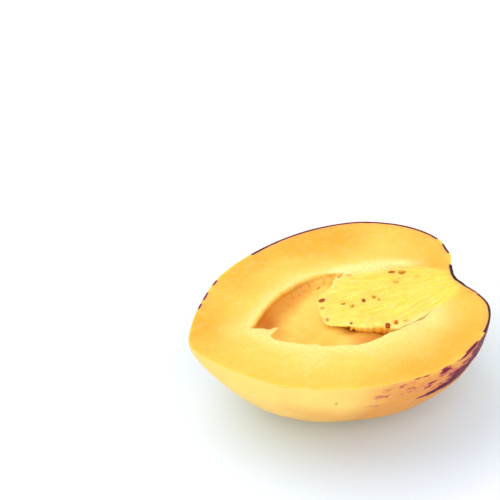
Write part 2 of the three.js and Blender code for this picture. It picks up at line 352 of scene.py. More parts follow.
skin = {
    # purple strokes: along from mid-length, turn in degrees from the near cut edge, half
    # length in mm, half width in mm, strength
    "strokes": [
        (16.5, 18.5, 3.5, 1.1, 1.0), (21, 18, 4.5, 1.8, 1.12), (25, 17, 4.5, 2.5, 1.2),
        (29, 16, 5, 3.2, 1.25), (33, 14.5, 5, 3.3, 1.25), (37, 12, 4.5, 3.3, 1.25),
        (41, 7.5, 3.5, 3.3, 1.2), (44, 4, 3, 3.5, 1.1), (24, 13, 4.5, 2.8, 0.68),
        (28, 10, 5, 3.6, 0.74), (32.5, 9, 5, 3.4, 0.76), (37, 6.5, 4, 3.4, 0.82),
        (41, 3, 4, 3, 0.9), (15, 23.5, 3.5, 0.5, 0.6), (11.5, 22, 3, 0.6, 0.4),
        (34.5, 0.6, 4.5, 1.5, 0.95), (31, 1, 2.5, 1.2, 0.75), (28, 0, 0.8, 0.5, 0.7),
        (23.4, 2.2, 2.2, 1.3, 0.95), (22.6, 3.6, 2.4, 1.4, 0.7), (25, 4.4, 1.8, 0.8, 0.66),
        (22, 5.8, 1.8, 1.0, 0.64), (7.5, 3.0, 1.8, 1.3, 0.63), (12.5, 0.8, 1.6, 0.8, 0.7),
        (15.3, 1.2, 1.6, 0.8, 0.66), (10.3, 6.2, 2.0, 1.1, 0.66), (2.8, 4.4, 2.6, 1.5, 0.52),
        (0.8, 9, 3.2, 1.6, 0.52), (16.8, 10.2, 2.0, 1.2, 0.62), (18.6, 7.8, 2.0, 1.2, 0.64),
        (-0.6, 16, 3.8, 1.2, 0.42), (20, 13.5, 2.5, 0.9, 0.55), (28, 12, 12, 9, 0.42),
        (10, 7, 12, 8, 0.3), (38, 10, 8, 8, 0.55), (42, 28, 6, 3, 0.7), (36, 34, 7, 2, 0.5),
        (-28.5, 0.5, 1.6, 0.4, 0.4),
    ],
    # broad purple ground on the hidden sides, in the same terms
    "patches": [
        (20, 172, 34, 12, 0.95), (-10, 160, 20, 9, 0.9), (34, 150, 14, 8, 0.75),
        (2, 128, 22, 6, 0.75), (-24, 142, 12, 5, 0.6), (22, 104, 14, 5, 0.55),
        (-8, 84, 15, 4, 0.5), (30, 62, 12, 5, 0.6), (10, 48, 14, 3, 0.42),
        (-24, 104, 9, 3, 0.4), (42, 176, 8, 9, 0.9), (36, 36, 9, 4, 0.5),
    ],
    "girth": 38,  # turns are counted on a round of this radius
    "tipDashes": [(26.0, 1.1), (20.9, 2.2), (16.9, 1.3)],  # on the far cut edge: y, half length
    "farEdgeFrom": (-15.0, -12.5),  # the far cut edge is dark from here to the stem
}


# Strokes along the fruit: each is a bell along its length and across its width. The width is
# counted on one round, so strokes narrow towards the stem and the tip as the skin does.
def strokesAt(strokes, along, turn):
    total = np.zeros(along.shape)
    for middle, degrees, halfLength, halfWidth, strength in strokes:
        across = skin["girth"] * (turn - math.radians(degrees))
        stroke = bell(along - middle, halfLength, 4) * bell(across, halfWidth)
        total = np.maximum(total, strength * stroke)
    return total


# How purple the skin is, from 0 to about 1, before the material breaks it into ragged streaks.
def pigmentAt(along, turn):
    broken = unevenness(np.stack([along / 5, skin["girth"] * turn], -1), 7.0, 11)
    strokes = strokesAt(skin["strokes"], along, turn)
    patches = strokesAt(skin["patches"], along, turn) * (0.86 + 0.2 * broken)
    nearStem = ease(along, 41, 47) * (1 - ease(turn, math.radians(20), math.radians(40)))
    return np.clip(np.maximum.reduce([strokes, patches, nearStem]), 0, 1.1)


# A colour as it looks on screen, 0 to 255, as the linear value that the shader takes.
def paint(red, green, blue):
    share = np.array([red, green, blue]) / 255
    linear = np.where(share <= 0.04045, share / 12.92, ((share + 0.055) / 1.055) ** 2.4)
    return (*linear.tolist(), 1.0)


# A new material's node tree with a few short ways to add to it.
class Shades:
    def __init__(self, name):
        self.material = bpy.data.materials.new(name)
        self.material.use_nodes = True
        self.tree = self.material.node_tree
        self.surface = self.tree.nodes["Principled BSDF"]
        self.surface.inputs["Subsurface Scale"].default_value = 0.001  # radii in millimetres

    def add(self, kind, settings=None, **inputs):
        node = self.tree.nodes.new(kind)
        for name, value in (settings or {}).items():
            setattr(node, name, value)
        for name, value in inputs.items():
            self.feed(node.inputs[name.replace("_", " ")], value)
        return node

    def feed(self, socket, value):
        if isinstance(value, bpy.types.NodeSocket):
            self.tree.links.new(value, socket)
        else:
            socket.default_value = value

    def field(self, name, vector=False):
        node = self.add("ShaderNodeAttribute", {"attribute_name": name})
        return node.outputs["Vector" if vector else "Fac"]

    def place(self):
        return self.add("ShaderNodeTexCoord").outputs["Object"]

    def scaled(self, vector, scale, shift=(0, 0, 0)):
        return self.add("ShaderNodeMapping", Vector=vector, Scale=scale, Location=shift).outputs[0]

    def noise(self, vector, scale, detail=3.0, roughness=0.5, distortion=0.0):
        node = self.add("ShaderNodeTexNoise", Vector=vector, Scale=scale, Detail=detail,
                        Roughness=roughness, Distortion=distortion)
        return node.outputs["Fac"]

    def sum(self, operation, first, second=0.0, third=0.0, clamp=False):
        node = self.add("ShaderNodeMath", {"operation": operation, "use_clamp": clamp})
        for socket, value in zip(node.inputs, (first, second, third)):
            self.feed(socket, value)
        return node.outputs[0]

    def times(self, first, second, clamp=False):
        return self.sum("MULTIPLY", first, second, clamp=clamp)

    def plus(self, value, factor, rest):
        return self.sum("MULTIPLY_ADD", value, factor, rest)

    def around(self, noise):
        return self.sum("SUBTRACT", noise, 0.5)

    def ramp(self, value, low, high, fromValue=0.0, toValue=1.0):
        node = self.add("ShaderNodeMapRange", {"interpolation_type": "SMOOTHSTEP"})
        for name, each in (("Value", value), ("From Min", low), ("From Max", high),
                           ("To Min", fromValue), ("To Max", toValue)):
            self.feed(node.inputs[name], each)
        return node.outputs[0]

    def mix(self, share, first, second):
        node = self.add("ShaderNodeMix", {"data_type": "RGBA"})
        for socket, value in ((0, share), (6, first), (7, second)):  # factor and both colours
            self.feed(node.inputs[socket], value)
        return node.outputs[2]

    def coats(self, colour, *coats):
        for share, coat in coats:
            colour = self.mix(share, colour, coat)
        return colour

    def colours(self, value, stops):
        node = self.add("ShaderNodeValToRGB", Fac=value)
        band = node.color_ramp
        for at, colour in stops[1:-1]:
            band.elements.new(at).color = colour
        band.elements[0].position, band.elements[0].color = stops[0]
        band.elements[-1].position, band.elements[-1].color = stops[-1]
        return node.outputs["Color"]

    def relief(self, height, strength, depthMm):
        node = self.add("ShaderNodeBump", Height=height, Strength=strength, Distance=depthMm / 1000)
        return node.outputs["Normal"]

    def finish(self, **inputs):
        for name, value in inputs.items():
            self.feed(self.surface.inputs[name.replace("_", " ")], value)
        return self.material


pigment = {
    "rosy": paint(226, 140, 96),
    "red": paint(166, 44, 74),
    "purple": paint(106, 14, 54),
    "black": paint(44, 6, 24),
}


# The pigment field broken into ragged streaks that run along the fruit, from about 0 to 1.5.
def raggedPigment(shades):
    grain = shades.field("grain", vector=True)
    broad = shades.noise(shades.scaled(grain, (0.10, 0.45, 1)), 1.0, 4.0, 0.6, 0.4)
    fine = shades.noise(shades.scaled(grain, (0.28, 1.1, 1), (7, 3, 0)), 1.0, 4.0, 0.65, 0.6)
    specks = shades.noise(shades.scaled(grain, (1.6, 3.2, 1), (2, 9, 0)), 1.0, 3.0, 0.6)
    broken = shades.plus(shades.around(fine), 1.9, shades.times(shades.around(broad), 0.8))
    broken = shades.plus(shades.around(specks), 0.7, broken)
    stained = shades.field("pigment")
    return shades.plus(broken, shades.ramp(stained, 0.0, 0.4, 0.1, 1.0), stained)


# The skin's colour over a given ground, which shows bare up to an amount of 0.2; it goes
# through rose, red and purple to nearly black at 1.35.
def pigmentColour(shades, amount, ground):
    steps = (("rosy", 0.2, 0.5), ("red", 0.44, 0.68), ("purple", 0.6, 0.8), ("black", 1.0, 1.35))
    return shades.coats(ground, *[
        (shades.ramp(amount, low, high), pigment[name]) for name, low, high in steps
    ])


# Cream skin, tan along the near side and golden below, partly the skin's own colour and partly
# painted shade away from the lit cut edge, and dull at the stem, under the pigment.
def skinMaterial():
    shades = Shades("pepinoSkin")
    place = shades.place()
    grain = shades.field("grain", vector=True)
    cloud = shades.noise(place, 60, 3.0)
    haze = shades.noise(shades.scaled(grain, (0.05, 0.35, 1)), 1.0, 3.0, 0.55)
    mottled = shades.ramp(cloud, 0.35, 0.7, -0.1, 0.12)
    ground = shades.coats(
        paint(255, 216, 119),
        # tan: partly the skin's own colour, partly painted shade
        (shades.sum("ADD", shades.field("tan"), mottled, clamp=True), paint(225, 155, 73)),
        # gold below: partly the skin's own colour, partly painted shade of the lower side
        (shades.field("gold"), paint(240, 200, 92)),
        (shades.ramp(haze, 0.5, 0.75, 0, 0.14), paint(240, 180, 116)),
        (shades.field("lilac"), paint(196, 184, 150)),
        (shades.field("nearCut"), paint(251, 194, 82)),
    )
    dots = shades.noise(place, 1500, 2.0, 0.6)
    colour = shades.coats(
        pigmentColour(shades, raggedPigment(shades), ground),
        (shades.ramp(dots, 0.62, 0.78, 0, 0.12), paint(255, 240, 190)),
        (shades.field("spot"), paint(150, 112, 30)),
    )
    pores = shades.noise(place, 2600, 2.0, 0.5)
    dents = shades.noise(place, 260, 2.0, 0.5)
    return shades.finish(
        Base_Color=colour,
        Roughness=shades.ramp(dents, 0.3, 0.7, 0.34, 0.44),
        Subsurface_Weight=0.12,
        Subsurface_Radius=(1.6, 0.8, 0.3),
        Specular_IOR_Level=0.05,
        Normal=shades.relief(shades.plus(dents, 4.0, pores), 0.35, 0.04),
    )


# Flesh goes from pale at the hollow to golden and orange under the skin, with lemon-yellow
# fibres between the seed core and the stem. Its colour is returned with its cells, its fine
# fibres and how lemon-yellow it is.
def fleshColour(shades):
    place = shades.place()
    fibres = shades.field("fibres", vector=True)
    cloud = shades.noise(place, 90, 4.0, 0.55)
    cells = shades.noise(place, 900, 3.0, 0.6)
    mottle = shades.noise(place, 420, 3.0, 0.6)
    streaks = shades.noise(shades.scaled(fibres, (0.10, 0.9, 0.3)), 1.0, 4.0, 0.62, 0.5)
    hairs = shades.noise(shades.scaled(fibres, (0.2, 2.0, 0.6), (4, 2, 0)), 1.0, 3.0, 0.6, 1.1)
    amber = shades.noise(shades.scaled(fibres, (0.22, 1.3, 0.4), (9, 5, 0)), 1.0, 3.0, 0.6, 0.9)

    # a field broken up by the cloud noise
    def clouded(field, low, high, least, most):
        return shades.times(shades.field(field), shades.ramp(cloud, low, high, least, most), clamp=True)

    warm = clouded("orange", 0.25, 0.75, 0.55, 1.25)
    colour = shades.coats(
        paint(255, 226, 136),
        (shades.ramp(shades.plus(cloud, 5.0, shades.field("fromHollow")), 2.6, 9.5), paint(255, 208, 92)),
        (shades.ramp(shades.field("fromSkin"), 13, 2, 0, 0.75), paint(253, 197, 74)),
        (warm, paint(241, 159, 39)),
        (clouded("pale", 0.3, 0.7, 0.4, 1.0), paint(255, 230, 142)),
    )
    lemon = shades.mix(shades.ramp(streaks, 0.33, 0.66), paint(253, 210, 68), paint(255, 229, 95))
    fraying = shades.plus(shades.around(streaks), 0.9, shades.field("yellow"))
    lemonShare = shades.ramp(fraying, 0.15, 0.75)
    amberShare = shades.times(shades.ramp(amber, 0.54, 0.72, 0, 0.42), lemonShare)
    hairShare = shades.times(shades.ramp(hairs, 0.56, 0.74), shades.ramp(lemonShare, 0, 1, 0.16, 0.75))
    hairShare = shades.times(hairShare, shades.ramp(cloud, 0.38, 0.62, 0.35, 1.0))
    colour = shades.coats(
        colour,
        (lemonShare, lemon),
        (shades.times(warm, 0.45), paint(249, 190, 52)),
        (amberShare, paint(248, 192, 58)),
        (hairShare, paint(255, 249, 196)),
        (clouded("band", 0.3, 0.7, 0.5, 1.0), paint(255, 240, 160)),
        (shades.ramp(cells, 0.42, 0.68, 0.0, 0.24), paint(246, 182, 66)),
        (shades.ramp(mottle, 0.45, 0.75, 0.0, 0.13), paint(255, 238, 160)),
    )
    return colour, cells, hairs, lemonShare


# Inside the hollow the flesh is beige, with painted light that makes it paler beside the core,
# and deep orange painted shade where the wall is steep and deep.
def hollowColour(shades, colour):
    place = shades.place()
    cloud = shades.noise(place, 110, 3.0, 0.5)
    grain = shades.noise(place, 1500, 3.0, 0.6)
    inside = shades.ramp(shades.field("fromHollow"), -0.6, -3.2)
    wall = shades.mix(shades.ramp(cloud, 0.3, 0.7), paint(254, 216, 106), paint(251, 200, 85))
    return shades.coats(
        colour,
        (inside, wall),
        (shades.times(inside, shades.ramp(grain, 0.45, 0.72, 0, 0.3)), paint(238, 176, 78)),
        # painted light: the wall paler beside the core
        (shades.times(shades.field("paintedLightBesideCore"), 0.25), paint(255, 218, 112)),
        # painted shade: deep orange in the hollow's steep, deep and overhung places
        (shades.field("paintedHollowShade"), paint(212, 124, 30)),
    )


# How much light spreads under the surface: least along the seam between core and flesh, and
# just below the hollow's far rim.
def besideSeam(shades):
    return shades.times(shades.sum("SUBTRACT", 1.0, shades.field("seam")), 0.55)


# The cut face and the hollow's wall, with stained flesh and the skin's own cut at the edge.
def fleshMaterial():
    shades = Shades("pepinoFlesh")
    colour, cells, hairs, lemonShare = fleshColour(shades)
    place = shades.place()
    flecks = shades.noise(shades.scaled(place, (1, 1, 1.6)), 700, 3.0, 0.6, 0.5)
    flecks = shades.times(shades.field("marks"), shades.ramp(flecks, 0.57, 0.66, 0.0, 0.65))
    fromSkin = shades.field("fromSkin")
    amount = raggedPigment(shades)
    stained = shades.ramp(shades.field("pigment"), 0.3, 0.8)
    tanned = shades.times(shades.ramp(fromSkin, 3.4, 0.3), stained)
    blush = shades.times(shades.ramp(fromSkin, 1.4, 0.5), shades.ramp(amount, 0.3, 0.8))
    colour = shades.coats(
        hollowColour(shades, colour),
        (flecks, paint(204, 112, 30)),
        (shades.times(tanned, 0.45), paint(238, 168, 96)),
        (shades.times(blush, 0.4), paint(226, 128, 92)),
    )

    # the cut through the skin itself, a line of uneven thickness round the cut face
    thin = shades.noise(place, 420, 2.0)
    edge = shades.sum("SUBTRACT", fromSkin, shades.ramp(thin, 0.3, 0.7, -0.08, 0.1))
    edge = shades.plus(stained, -0.2, edge)
    paleRind = shades.mix(0.12, colour, paint(255, 224, 124))
    rind = pigmentColour(shades, shades.plus(stained, 0.6, amount), paleRind)
    rindShare = shades.times(shades.ramp(edge, 0.62, 0.38), shades.field("onFace"))
    colour = shades.mix(rindShare, colour, rind)

    grain = shades.noise(place, 1900, 3.0, 0.6)
    height = shades.plus(shades.times(hairs, lemonShare), 2.4, shades.plus(cells, 2.2, grain))
    return shades.finish(
        Base_Color=colour,
        Roughness=shades.ramp(cells, 0.3, 0.75, 0.40, 0.55),
        Subsurface_Weight=besideSeam(shades),
        Subsurface_Radius=(4.5, 2.4, 0.6),
        Specular_IOR_Level=0.25,
        Normal=shades.relief(height, 0.4, 0.06),
    )


# Flesh again: deeper yellow underneath, partly the core's own colour and partly painted shade
# under its edge, paler on the lobes and amber round the seeds.
def coreMaterial():
    shades = Shades("pepinoSeedCore")
    colour, cells, hairs, _ = fleshColour(shades)
    colour = shades.coats(
        colour,
        # deeper yellow underneath: partly the core's own colour, partly painted shade
        (shades.ramp(shades.field("below"), 0.2, 1.6, 0, 0.85), paint(242, 184, 66)),
        (shades.times(shades.field("lobeEdge"), 0.28), paint(255, 240, 160)),
        (shades.times(shades.field("tipEnd"), 0.75), paint(255, 222, 108)),
        (shades.times(shades.field("seedHalo"), 0.45), paint(244, 186, 70)),
    )
    return shades.finish(
        Base_Color=colour,
        Roughness=shades.ramp(cells, 0.3, 0.75, 0.3, 0.46),
        Subsurface_Weight=besideSeam(shades),
        Subsurface_Radius=(6.0, 3.6, 0.9),
        Specular_IOR_Level=0.42,
        Coat_Weight=0.12,
        Coat_Roughness=0.22,
        Normal=shades.relief(shades.plus(hairs, 2.0, cells), 0.35, 0.06),
    )


# Seeds from pale amber to nearly black, blotched, and darker along the rim.
def seedMaterial():
    shades = Shades("pepinoSeeds")
    place = shades.place()
    fine = shades.noise(place, 1600, 3.0, 0.6)
    blotch = shades.noise(place, 700, 3.0, 0.6)
    tone = shades.plus(shades.around(blotch), 1.3, shades.field("tone"))
    colour = shades.colours(tone, [
        (0.0, paint(242, 196, 80)), (0.3, paint(222, 152, 52)),
        (0.65, paint(182, 88, 30)), (1.0, paint(104, 26, 18)),
    ])
    colour = shades.coats(
        colour,
        (shades.times(shades.field("seedRim"), 0.45), paint(128, 54, 20)),
        (shades.ramp(fine, 0.5, 0.75, 0, 0.4), paint(228, 166, 92)),
    )
    return shades.finish(
        Base_Color=colour,
        Roughness=0.5,
        Specular_IOR_Level=0.08,
        Subsurface_Weight=0.05,
        Subsurface_Radius=(0.8, 0.5, 0.3),
        Normal=shades.relief(fine, 0.4, 0.05),
    )


# A dry olive-brown calyx with dark threads, a corky scar and a dark cut.
def calyxMaterial():
    shades = Shades("pepinoCalyx")
    place = shades.place()
    veins = shades.field("veins", vector=True)
    cloud = shades.noise(place, 330, 4.0, 0.6)
    fine = shades.noise(place, 1700, 4.0, 0.65)
    threads = shades.noise(shades.scaled(veins, (0.35, 2.4, 1)), 1.0, 4.0, 0.6, 0.4)
    colour = shades.colours(cloud, [
        (0.3, paint(62, 56, 36)), (0.5, paint(98, 92, 60)), (0.7, paint(140, 128, 84)),
    ])
    cork = shades.mix(shades.ramp(fine, 0.4, 0.65), paint(112, 100, 62), paint(176, 160, 112))
    colour = shades.coats(
        colour,
        (shades.ramp(threads, 0.5, 0.7, 0, 0.6), paint(52, 44, 30)),
        (shades.field("scar"), cork),
        (shades.field("cutFace"), paint(58, 28, 14)),
    )
    return shades.finish(
        Base_Color=colour,
        Roughness=shades.ramp(fine, 0.3, 0.7, 0.7, 0.9),
        Specular_IOR_Level=0.3,
        Normal=shades.relief(shades.plus(threads, 2.0, fine), 0.8, 0.15),
    )


skinFinish = skinMaterial()
fleshFinish = fleshMaterial()
coreFinish = coreMaterial()
seedFinish = seedMaterial()
calyxFinish = calyxMaterial()
print("materials made")


# How rounded the rim is at each place of it: soft on the far side until it comes beside the
# core, sharp elsewhere.
def rimRounding(places):
    farness = ease(places[..., 1], -6, 7) * (1 - 0.85 * ease(places[..., 0], 3, 10))
    return hollow["nearRounding"] + (hollow["farRounding"] - hollow["nearRounding"]) * farness


# The rim is met by equal shares of length: from the stem round the near side to the tip, and
# back round the far side, as the outline goes. Returned are the rim itself, with its torn
# tongue, the wall's own line under it, and the directions outward from the rim.
def rimForOutline():
    lengths = wayAlong(np.vstack([outlineLoop, outlineLoop[:1]]))
    tip = fruit["alongSteps"]
    nearShare = lengths[:tip] / lengths[tip]
    farShare = (lengths[tip:-1] - lengths[tip]) / (lengths[-1] - lengths[tip])
    stemPlace = hollow["stemAt"] / len(hollow["rim"])
    tornPlace = hollow["tornAt"] / len(hollow["rim"])
    many = np.linspace(0, 1, 600)
    farLine = smoothLine(hollow["rim"], stemPlace * many, closed=True)
    nearStart = smoothLine(hollow["rim"], stemPlace + (tornPlace - stemPlace) * many, closed=True)
    nearEnd = smoothLine(hollow["rim"], tornPlace + (1 - tornPlace) * many, closed=True)
    # a torn stretch, with the rim's own points before and after it for the right slopes
    before, after = hollow["rim"][hollow["tornAt"] - 1], hollow["rim"][1]
    torn = np.array([before, *hollow["torn"], after], float)
    tornShare = (1 + many * (len(torn) - 3)) / len(torn)
    tornEnd = smoothLine(torn, tornShare, closed=True)
    startLength, endLength = (wayAlong(line)[-1] for line in (nearStart, nearEnd))
    split = startLength / (startLength + endLength)
    onStart = nearShare < split
    start = evenly(nearStart, nearShare[onStart] / split)
    endShare = (nearShare[~onStart] - split) / (1 - split)
    far = evenly(farLine, farShare)
    wall = np.vstack([start, evenly(nearEnd, np.interp(endShare, *hollow["tornFrom"])), far])
    rim = np.vstack([start, evenly(tornEnd, endShare), far])
    step = np.roll(wall, -1, axis=0) - np.roll(wall, 1, axis=0)
    step /= np.linalg.norm(step, axis=1, keepdims=True)
    outward = np.stack([-step[:, 1], step[:, 0]], 1)
    wobble = unevenness(wall, 5.0, 3) * 0.13 + unevenness(wall, 1.6, 4) * 0.04
    wobble *= ease(wall[:, 0], -28, -12)
    wobble = outward * wobble[:, None]
    return rim + wobble, wall + wobble, outward


# Rings from the outline inwards: across the cut face, over a quarter-round at the rim, and
# down the wall to the bottom of the bowl.
def topGrid():
    rim, wall, outward = rimForOutline()
    rounding = rimRounding(rim)[:, None]
    overhang = np.linalg.norm(rim - wall, axis=1)[:, None]
    rounding = np.minimum(rounding, np.where(overhang > 0.3, 0.15, 9.0))
    inner = rim + outward * rounding
    steps = gradedSteps(hollow["faceSteps"], 0.85)[1:, None, None]
    faceRings = outlineLoop + (inner - outlineLoop) * steps
    relief = 0.09 * unevenness(faceRings, 11.0, 5) + 0.035 * unevenness(faceRings, 3.2, 6)
    relief += 0.02 * unevenness(faceRings * np.array([0.25, 1.0]), 1.6, 7)
    relief *= ease(distanceTo(outlineLoop, faceRings), 0, 4)
    faceRings = np.concatenate([faceRings, relief[..., None] - 0.02], -1)

    bend = math.pi / 2 * ringShares(hollow["roundingSteps"])
    roundRings = rim + outward * rounding * (1 - np.sin(bend))
    roundHeight = -rounding * (1 - np.cos(bend)) + faceRings[-1, :, 2:]
    roundRings = np.concatenate([roundRings, roundHeight], -1)

    # back under the tongue to the wall's own line; elsewhere this is a short way straight down
    back = ringShares(hollow["underSteps"])
    thickness = hollow["tongueThickness"] * np.minimum(1, overhang / 1.0)
    underRings = rim + (wall - rim) * back
    underHeight = roundRings[-1, :, 2:] - thickness * (1 - (1 - back) ** 2)
    underRings = np.concatenate([underRings, underHeight - 0.02 * back], -1)

    # down the wall: a superellipse, whose power is the wall's slope
    bottom = np.array(hollow["bottom"])
    farSide = ease(wall[:, 1:], -4, 6)
    slope = hollow["nearSlope"] + (hollow["farSlope"] - hollow["nearSlope"]) * farSide
    low = ringShares(hollow["wallSteps"])
    inward, down = bowl(low, slope)
    start = underRings[-1, :, 2:]
    wallHeight = start - (hollow["depth"] + start) * down
    wallRings = np.concatenate([bottom + (wall - bottom) * inward, wallHeight], -1)
    lumps = 0.22 * unevenness(wallRings, 6.0, 8) + 0.07 * unevenness(wallRings, 1.8, 9)
    wallRings[..., 2] += lumps * ease(low[..., 0], 0.05, 0.3)
    for x, y, reachX, reachY, top, share in hollow["mounds"]:
        mound = bell(wallRings[..., 0] - x, reachX) * bell(wallRings[..., 1] - y, reachY)
        wallRings[..., 2] += share * mound * np.maximum(0, top - wallRings[..., 2])
    wallRings[-1] = wallRings[-1].mean(0)
    return np.concatenate([faceRings, roundRings, underRings, wallRings])


# The skin from the near cut edge under the fruit to the far one, closed by topGrid's rings.
def fruitBody():
    turns = math.pi * gradedSteps(fruit["roundSteps"], 0.9)
    along, turn = np.meshgrid(alongShare, turns, indexing="ij")
    skinGrid = skinSurface(along, turn)
    dents = 0.10 * unevenness(skinGrid, 14.0, 21) + 0.03 * unevenness(skinGrid, 3.0, 22)
    outwards = skinGrid / np.linalg.norm(skinGrid, axis=-1, keepdims=True)
    inside = ease(np.sin(turn), 0, 0.25) * ease(np.minimum(along, 1 - along), 0, 0.06)
    skinGrid = skinGrid + outwards * (dents * inside)[..., None]
    skinGrid[..., 2] = np.maximum(skinGrid[..., 2], -cutHeight)

    rows, columns = skinGrid.shape[:2]
    skinIndex = numbered((rows, columns))
    rings = topGrid()
    loopIndex = np.concatenate([skinIndex[:, 0], skinIndex[-2:0:-1, -1]])
    topIndex = numbered(rings.shape[:2], rows * columns, poles=[-1])
    topIndex = np.vstack([loopIndex, topIndex])
    topIndex = np.hstack([topIndex, topIndex[:, :1]])
    points = np.concatenate([skinGrid.reshape(-1, 3), rings.reshape(-1, 3)])
    count = rings.shape[0] * rings.shape[1]
    inHollow = np.zeros(len(points), bool)
    inHollow[rows * columns + (hollow["faceSteps"] + 2) * rings.shape[1]:] = True
    fields = fleshFields(points, inHollow)

    # where each point lies along the skin, and the same carried in over the cut face
    skinAlong = np.broadcast_to(wayAlong(nearEdge)[:, None], (rows, columns))
    skinGrain = np.stack([skinAlong, skin["girth"] * turn, 0 * turn], -1)
    loopGrain = np.concatenate([skinGrain[:, 0], skinGrain[-2:0:-1, -1]])
    topGrain = np.broadcast_to(loopGrain, rings.shape)
    fields["grain"] = np.concatenate([skinGrain.reshape(-1, 3), topGrain.reshape(-1, 3)])

    # pigment, which fades round the calyx and meets the cut edge's own on both sides
    alongX, depth = skinGrid[..., 0], -skinGrid[..., 2]
    skinPigment = pigmentAt(alongX, turn)
    loopPigment = edgePigment()
    skinPigment[:, 0] = np.maximum(skinPigment[:, 0], loopPigment[:rows])
    farPigment = np.concatenate([loopPigment[:1], loopPigment[:rows - 2:-1]])
    fromStem = np.hypot(skinGrid[..., 1], depth)
    degrees = np.degrees(turn)
    nearCalyx = (1 - ease(fromStem, 9, 19)) * ease(degrees, 90, 130) * ease(alongX, 38, 43)
    byEdge = farPigment[:, None] * ease(degrees, 174, 178.5)
    skinPigment = np.maximum(skinPigment * (1 - nearCalyx), byEdge)
    topPigment = np.broadcast_to(loopPigment, rings.shape[:2])
    fields["pigment"] = np.concatenate([skinPigment.ravel(), topPigment.ravel()])

    # tan and gold: partly the skin's own colour, partly painted shade away from the lit cut edge
    tan = 0.9 * ease(alongX, -16, 6) * ease(degrees, -6, 4)
    tan += 0.5 * ease(degrees, 11, 28) * ease(alongX, -42, -16)
    skinFields = {
        "tan": tan,
        "gold": ease(degrees, 30, 80) * 0.8,
        "lilac": 0.75 * bell(np.hypot(skinGrid[..., 1] + 1.3, depth), 11.0) * ease(alongX, 30, 42),
        "spot": bell(alongX + 13.3, 0.45) * bell(0.62 * (degrees - 11.5), 0.5),
        "nearCut": 0.85 * bell(degrees, 3.2, 1) * ease(alongX, 4, 16),
    }
    for name, values in skinFields.items():
        fields[name] = np.concatenate([values.ravel(), np.zeros(count)])

    # the hollow's wall: painted shade in orange where it is steep, at the tip end, below the far rim,
    # under the core's near edge and in the crease beside it; painted light beside the core; dark marks
    # in a row below the far rim
    x, y, z = points.T
    fromRim = np.zeros(len(points))
    fromRim[inHollow] = distanceTo(rimLine, points[inHollow])
    steepTip = bell(x + 22, 7.0) * bell(y - 3.5, 6.5) * ease(-z, 0.4, 2.5)
    underRim = ease(-z, 0.4, 1.6) * (1 - ease(fromRim, 1.5, 7.5)) * ease(y, 0, 4)
    underRim = underRim * (1 - ease(x, -4, 7))
    underCore = ease(x, -2, 9) * ease(-z, 0.8, 2.0) * ease(-y, 5, 8)
    crease = ease(x, 15, 21) * ease(-y, 6, 10) * ease(-z, 0.1, 0.6)
    # the painted shade, deep orange, from the places above
    paintedHollowShade = np.clip(0.45 * steepTip + 0.65 * underRim + 0.7 * underCore + crease, 0, 1)
    # painted light: a paler wall beside the core
    paintedLightBesideCore = bell(x + 4, 8) * bell(y - 1, 8) * (1 - ease(-z, 3.5, 9))
    marks = bell(x + 1, 12) * (1 - ease(fromRim, 2.0, 6.0)) * ease(y, 2, 6) * ease(-z, 0.4, 1.4)
    for name, values in (("paintedHollowShade", paintedHollowShade), ("paintedLightBesideCore", paintedLightBesideCore), ("marks", marks)):
        fields[name] = values * inHollow
    belowRim = bell(fromRim, 1.5) * ease(y, -2, 3) * inHollow
    fields["seam"] = np.maximum(np.where(inHollow, 0, fields["seam"]), 0.85 * belowRim)
    fields["onFace"] = np.where(inHollow, 0.0, 1.0)
    fields["fromHollow"] -= 2.0 * (inHollow & (z < -0.3))

    skinFaces, topFaces = gridFaces(skinIndex), gridFaces(topIndex)
    materialOf = [0] * len(skinFaces) + [1] * len(topFaces)
    materials = [skinFinish, fleshFinish]
    return makePiece("fruit_body", points, skinFaces + topFaces, materials, fields, materialOf)


# How dark the cut edge of the skin is, round the outline. On the far side: a long stretch, a
# short one by the stem and dashes towards the tip. On the near side: a stretch by the stem that
# thins out into the dimple, and a fainter streak. Both lines run down into the dimple's notch.
def edgePigment():
    x, y = outlineLoop.T
    far, stemEnd = y > 0, x > 42
    dark = far * ease(x, *skin["farEdgeFrom"]) * np.where(x > 35, ease(y, 18.4, 19.2), 1)
    dark = np.maximum(dark, far * (x > 40) * ease(y, 10.2, 11.0) * (1 - ease(y, 15.4, 16.1)))
    for middle, half in skin["tipDashes"]:
        dark = np.maximum(dark, 0.66 * far * (x < -25) * bell(y - middle, half, 4))
    nearDark = stemEnd * ease(-y, 11.6, 12.6) * (1 - ease(-y, 29.5, 31.5))
    thinLine = 0.62 * stemEnd * ease(-y, 7.5, 9.0) * (1 - ease(-y, 11.5, 12.6))
    streak = 0.55 * ease(x, 29, 33) * (1 - ease(x, 37, 40))
    notch = 0.8 * stemEnd * np.where(far, 1 - ease(y, 4.0, 6.5), 1 - ease(-y, 8.0, 10.0))
    near = ~far * np.maximum.reduce([nearDark, thinLine, streak])
    return np.clip(np.maximum.reduce([dark, near, notch]), 0, 1)


body = fruitBody()
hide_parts("fruit_half")
print("fruit body:", len(body.data.polygons), "faces")


core = {
    "edge": [
        (-4.4, -5.6), (-4.0, -1.3), (-3.3, 2.0), (-2.3, 4.9), (-0.3, 7.0), (2.6, 8.5), (5.0, 10.0),
        (7.0, 12.4), (9.5, 15.2), (13.5, 16.6), (19, 16.2), (25, 14.6), (33, 9), (37, 3), (38, -6),
        (35.0, -12.8), (30.4, -14.3), (22.3, -16.5), (16.6, -17.2), (13.6, -15.2), (10.6, -13.7),
        (8.0, -13.0), (5.4, -12.1), (3.2, -10.9), (1.2, -9.7), (-1.8, -8.6), (-3.8, -7.5),
    ],
    "bottom": (15, -2),
    "depth": 7.4,
    "lobes": 42,
    "lobeHeight": 0.5,
    "rounding": 0.7,  # the top's edge is rounded over this height
    "aroundSteps": 620,
    "topSteps": 70,
    "roundingSteps": 8,
    "wallSteps": 34,
}

